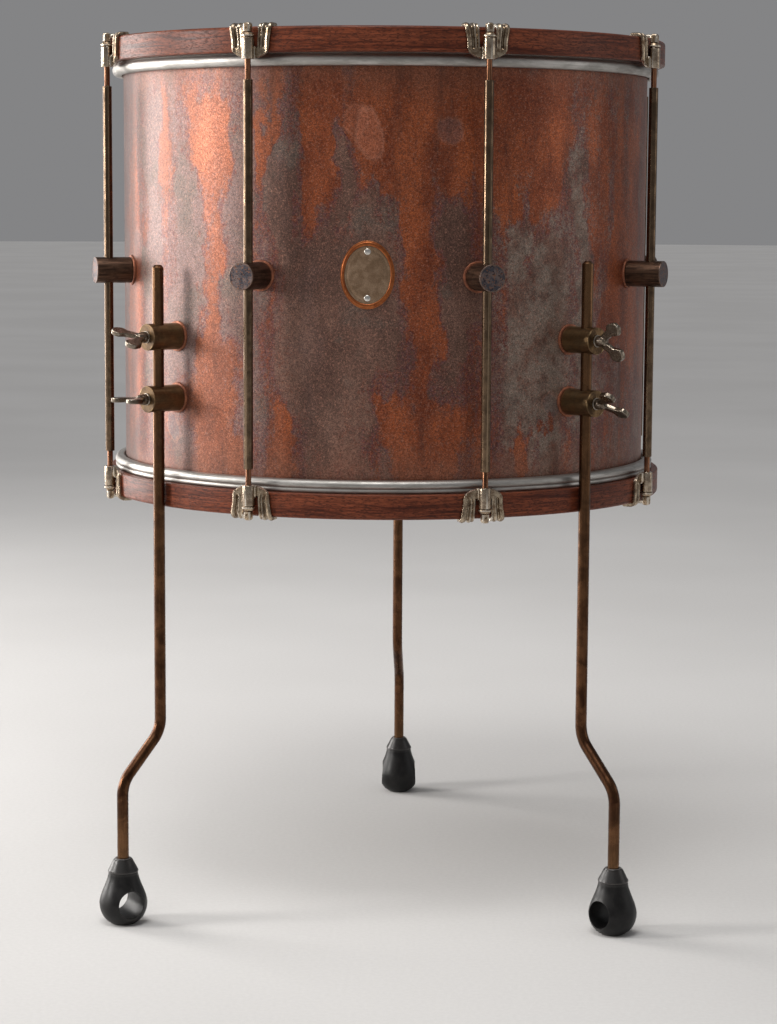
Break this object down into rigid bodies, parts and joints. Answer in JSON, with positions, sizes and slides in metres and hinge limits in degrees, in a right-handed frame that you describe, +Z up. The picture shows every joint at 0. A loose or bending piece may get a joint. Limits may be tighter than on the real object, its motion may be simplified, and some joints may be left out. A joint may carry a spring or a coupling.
{
  "type": "floor tom drum",
  "caption": "Floor tom with a bare copper shell, wood hoops held by claws, tube lugs, two heads and three height-adjustable legs on rubber feet.",
  "frame": {"origin": "on the floor under the middle of the whole part's box; the drum's own axis stands 31.5 mm towards -Y of it, because the rear foot reaches further back than the front feet reach forward", "axes": "+Z up along the drum's axis; the badge side faces -Y; +X is to the right when the badge is faced"},
  "size_m": [0.49, 0.5527, 0.7393],
  "materials": {
    "copper_shell": "bare copper sheet with mottled brown and grey patina, satin",
    "hoop_wood": "reddish brown stained wood, satin varnish",
    "head_film": "off-white film in a dull aluminium rim",
    "lug_bronze": "dark oiled bronze",
    "claw_nickel": "aged warm nickel plating",
    "key_rod_steel": "coppery plating, worn",
    "bracket_brass": "aged brass with brighter machined faces",
    "wing_screw_metal": "worn dark nickel",
    "leg_rod_metal": "brown brass plating, worn",
    "foot_rubber": "black rubber, satin"
  },
  "bodies": {
    "drum": {"shell": "copper_shell", "batter_head": "head_film", "resonant_head": "head_film", "tube_lug_1": "lug_bronze", "tube_lug_2": "lug_bronze", "tube_lug_3": "lug_bronze", "tube_lug_4": "lug_bronze", "tube_lug_5": "lug_bronze", "tube_lug_6": "lug_bronze", "tube_lug_7": "lug_bronze", "tube_lug_8": "lug_bronze", "leg_bracket_left": "bracket_brass", "leg_bracket_right": "bracket_brass", "leg_bracket_rear": "bracket_brass"},
    "top_hoop_set": {"top_hoop": "hoop_wood", "top_claw_1": "claw_nickel", "top_claw_2": "claw_nickel", "top_claw_3": "claw_nickel", "top_claw_4": "claw_nickel", "top_claw_5": "claw_nickel", "top_claw_6": "claw_nickel", "top_claw_7": "claw_nickel", "top_claw_8": "claw_nickel"},
    "bottom_hoop_set": {"bottom_hoop": "hoop_wood", "bottom_claw_1": "claw_nickel", "bottom_claw_2": "claw_nickel", "bottom_claw_3": "claw_nickel", "bottom_claw_4": "claw_nickel", "bottom_claw_5": "claw_nickel", "bottom_claw_6": "claw_nickel", "bottom_claw_7": "claw_nickel", "bottom_claw_8": "claw_nickel"},
    "top_key_rod_1_body": {"top_key_rod_1": "key_rod_steel"},
    "top_key_rod_2_body": {"top_key_rod_2": "key_rod_steel"},
    "top_key_rod_3_body": {"top_key_rod_3": "key_rod_steel"},
    "top_key_rod_4_body": {"top_key_rod_4": "key_rod_steel"},
    "top_key_rod_5_body": {"top_key_rod_5": "key_rod_steel"},
    "top_key_rod_6_body": {"top_key_rod_6": "key_rod_steel"},
    "top_key_rod_7_body": {"top_key_rod_7": "key_rod_steel"},
    "top_key_rod_8_body": {"top_key_rod_8": "key_rod_steel"},
    "bottom_key_rod_1_body": {"bottom_key_rod_1": "key_rod_steel"},
    "bottom_key_rod_2_body": {"bottom_key_rod_2": "key_rod_steel"},
    "bottom_key_rod_3_body": {"bottom_key_rod_3": "key_rod_steel"},
    "bottom_key_rod_4_body": {"bottom_key_rod_4": "key_rod_steel"},
    "bottom_key_rod_5_body": {"bottom_key_rod_5": "key_rod_steel"},
    "bottom_key_rod_6_body": {"bottom_key_rod_6": "key_rod_steel"},
    "bottom_key_rod_7_body": {"bottom_key_rod_7": "key_rod_steel"},
    "bottom_key_rod_8_body": {"bottom_key_rod_8": "key_rod_steel"},
    "wing_screw_left_upper_body": {"wing_screw_left_upper": "wing_screw_metal"},
    "wing_screw_left_lower_body": {"wing_screw_left_lower": "wing_screw_metal"},
    "leg_left_body": {"leg_left": "leg_rod_metal", "foot_left": "foot_rubber"},
    "wing_screw_right_upper_body": {"wing_screw_right_upper": "wing_screw_metal"},
    "wing_screw_right_lower_body": {"wing_screw_right_lower": "wing_screw_metal"},
    "leg_right_body": {"leg_right": "leg_rod_metal", "foot_right": "foot_rubber"},
    "wing_screw_rear_upper_body": {"wing_screw_rear_upper": "wing_screw_metal"},
    "wing_screw_rear_lower_body": {"wing_screw_rear_lower": "wing_screw_metal"},
    "leg_rear_body": {"leg_rear": "leg_rod_metal", "foot_rear": "foot_rubber"}
  },
  "joints": [
    {"name": "top_hoop_slide", "type": "slide", "parent": "drum", "child": "top_hoop_set", "axis": [0, 0, 1], "range_m": [0, 0.01]},
    {"name": "bottom_hoop_slide", "type": "slide", "parent": "drum", "child": "bottom_hoop_set", "axis": [0, 0, -1], "range_m": [0, 0.01]},
    {"name": "top_key_rod_1_turn", "type": "hinge", "parent": "top_hoop_set", "child": "top_key_rod_1_body", "pos_m": [0.09529, -0.26155, 0.7275], "axis": [0, 0, 1], "range_deg": [0, 3420]},
    {"name": "top_key_rod_2_turn", "type": "hinge", "parent": "top_hoop_set", "child": "top_key_rod_2_body", "pos_m": [0.23005, -0.12679, 0.7275], "axis": [0, 0, 1], "range_deg": [0, 3420]},
    {"name": "top_key_rod_3_turn", "type": "hinge", "parent": "top_hoop_set", "child": "top_key_rod_3_body", "pos_m": [0.23005, 0.06379, 0.7275], "axis": [0, 0, 1], "range_deg": [0, 3420]},
    {"name": "top_key_rod_4_turn", "type": "hinge", "parent": "top_hoop_set", "child": "top_key_rod_4_body", "pos_m": [0.09529, 0.19855, 0.7275], "axis": [0, 0, 1], "range_deg": [0, 3420]},
    {"name": "top_key_rod_5_turn", "type": "hinge", "parent": "top_hoop_set", "child": "top_key_rod_5_body", "pos_m": [-0.09529, 0.19855, 0.7275], "axis": [0, 0, 1], "range_deg": [0, 3420]},
    {"name": "top_key_rod_6_turn", "type": "hinge", "parent": "top_hoop_set", "child": "top_key_rod_6_body", "pos_m": [-0.23005, 0.06379, 0.7275], "axis": [0, 0, 1], "range_deg": [0, 3420]},
    {"name": "top_key_rod_7_turn", "type": "hinge", "parent": "top_hoop_set", "child": "top_key_rod_7_body", "pos_m": [-0.23005, -0.12679, 0.7275], "axis": [0, 0, 1], "range_deg": [0, 3420]},
    {"name": "top_key_rod_8_turn", "type": "hinge", "parent": "top_hoop_set", "child": "top_key_rod_8_body", "pos_m": [-0.09529, -0.26155, 0.7275], "axis": [0, 0, 1], "range_deg": [0, 3420]},
    {"name": "bottom_key_rod_1_turn", "type": "hinge", "parent": "bottom_hoop_set", "child": "bottom_key_rod_1_body", "pos_m": [0.09529, -0.26155, 0.3555], "axis": [0, 0, -1], "range_deg": [0, 3420]},
    {"name": "bottom_key_rod_2_turn", "type": "hinge", "parent": "bottom_hoop_set", "child": "bottom_key_rod_2_body", "pos_m": [0.23005, -0.12679, 0.3555], "axis": [0, 0, -1], "range_deg": [0, 3420]},
    {"name": "bottom_key_rod_3_turn", "type": "hinge", "parent": "bottom_hoop_set", "child": "bottom_key_rod_3_body", "pos_m": [0.23005, 0.06379, 0.3555], "axis": [0, 0, -1], "range_deg": [0, 3420]},
    {"name": "bottom_key_rod_4_turn", "type": "hinge", "parent": "bottom_hoop_set", "child": "bottom_key_rod_4_body", "pos_m": [0.09529, 0.19855, 0.3555], "axis": [0, 0, -1], "range_deg": [0, 3420]},
    {"name": "bottom_key_rod_5_turn", "type": "hinge", "parent": "bottom_hoop_set", "child": "bottom_key_rod_5_body", "pos_m": [-0.09529, 0.19855, 0.3555], "axis": [0, 0, -1], "range_deg": [0, 3420]},
    {"name": "bottom_key_rod_6_turn", "type": "hinge", "parent": "bottom_hoop_set", "child": "bottom_key_rod_6_body", "pos_m": [-0.23005, 0.06379, 0.3555], "axis": [0, 0, -1], "range_deg": [0, 3420]},
    {"name": "bottom_key_rod_7_turn", "type": "hinge", "parent": "bottom_hoop_set", "child": "bottom_key_rod_7_body", "pos_m": [-0.23005, -0.12679, 0.3555], "axis": [0, 0, -1], "range_deg": [0, 3420]},
    {"name": "bottom_key_rod_8_turn", "type": "hinge", "parent": "bottom_hoop_set", "child": "bottom_key_rod_8_body", "pos_m": [-0.09529, -0.26155, 0.3555], "axis": [0, 0, -1], "range_deg": [0, 3420]},
    {"name": "wing_screw_left_upper_turn", "type": "hinge", "parent": "drum", "child": "wing_screw_left_upper_body", "pos_m": [-0.1842, -0.2157, 0.488], "axis": [-0.7071, -0.7071, 0], "range_deg": [0, 1080]},
    {"name": "wing_screw_left_lower_turn", "type": "hinge", "parent": "drum", "child": "wing_screw_left_lower_body", "pos_m": [-0.1842, -0.2157, 0.437], "axis": [-0.7071, -0.7071, 0], "range_deg": [0, 1080]},
    {"name": "leg_left_slide", "type": "slide", "parent": "drum", "child": "leg_left_body", "axis": [0, 0, 1], "range_m": [-0.045, 0.15]},
    {"name": "wing_screw_right_upper_turn", "type": "hinge", "parent": "drum", "child": "wing_screw_right_upper_body", "pos_m": [0.1842, -0.2157, 0.488], "axis": [0.7071, -0.7071, 0], "range_deg": [0, 1080]},
    {"name": "wing_screw_right_lower_turn", "type": "hinge", "parent": "drum", "child": "wing_screw_right_lower_body", "pos_m": [0.1842, -0.2157, 0.437], "axis": [0.7071, -0.7071, 0], "range_deg": [0, 1080]},
    {"name": "leg_right_slide", "type": "slide", "parent": "drum", "child": "leg_right_body", "axis": [0, 0, 1], "range_m": [-0.045, 0.15]},
    {"name": "wing_screw_rear_upper_turn", "type": "hinge", "parent": "drum", "child": "wing_screw_rear_upper_body", "pos_m": [0, 0.229, 0.488], "axis": [0, 1, 0], "range_deg": [0, 1080]},
    {"name": "wing_screw_rear_lower_turn", "type": "hinge", "parent": "drum", "child": "wing_screw_rear_lower_body", "pos_m": [0, 0.229, 0.437], "axis": [0, 1, 0], "range_deg": [0, 1080]},
    {"name": "leg_rear_slide", "type": "slide", "parent": "drum", "child": "leg_rear_body", "axis": [0, 0, 1], "range_m": [-0.045, 0.15]}
  ],
  "couplings": [
    {"joint": "top_key_rod_1_turn", "follows": "top_hoop_slide", "rad_per_m": 5936.9},
    {"joint": "top_key_rod_2_turn", "follows": "top_hoop_slide", "rad_per_m": 5936.9},
    {"joint": "top_key_rod_3_turn", "follows": "top_hoop_slide", "rad_per_m": 5936.9},
    {"joint": "top_key_rod_4_turn", "follows": "top_hoop_slide", "rad_per_m": 5936.9},
    {"joint": "top_key_rod_5_turn", "follows": "top_hoop_slide", "rad_per_m": 5936.9},
    {"joint": "top_key_rod_6_turn", "follows": "top_hoop_slide", "rad_per_m": 5936.9},
    {"joint": "top_key_rod_7_turn", "follows": "top_hoop_slide", "rad_per_m": 5936.9},
    {"joint": "top_key_rod_8_turn", "follows": "top_hoop_slide", "rad_per_m": 5936.9},
    {"joint": "bottom_key_rod_1_turn", "follows": "bottom_hoop_slide", "rad_per_m": 5936.9},
    {"joint": "bottom_key_rod_2_turn", "follows": "bottom_hoop_slide", "rad_per_m": 5936.9},
    {"joint": "bottom_key_rod_3_turn", "follows": "bottom_hoop_slide", "rad_per_m": 5936.9},
    {"joint": "bottom_key_rod_4_turn", "follows": "bottom_hoop_slide", "rad_per_m": 5936.9},
    {"joint": "bottom_key_rod_5_turn", "follows": "bottom_hoop_slide", "rad_per_m": 5936.9},
    {"joint": "bottom_key_rod_6_turn", "follows": "bottom_hoop_slide", "rad_per_m": 5936.9},
    {"joint": "bottom_key_rod_7_turn", "follows": "bottom_hoop_slide", "rad_per_m": 5936.9},
    {"joint": "bottom_key_rod_8_turn", "follows": "bottom_hoop_slide", "rad_per_m": 5936.9}
  ]
}
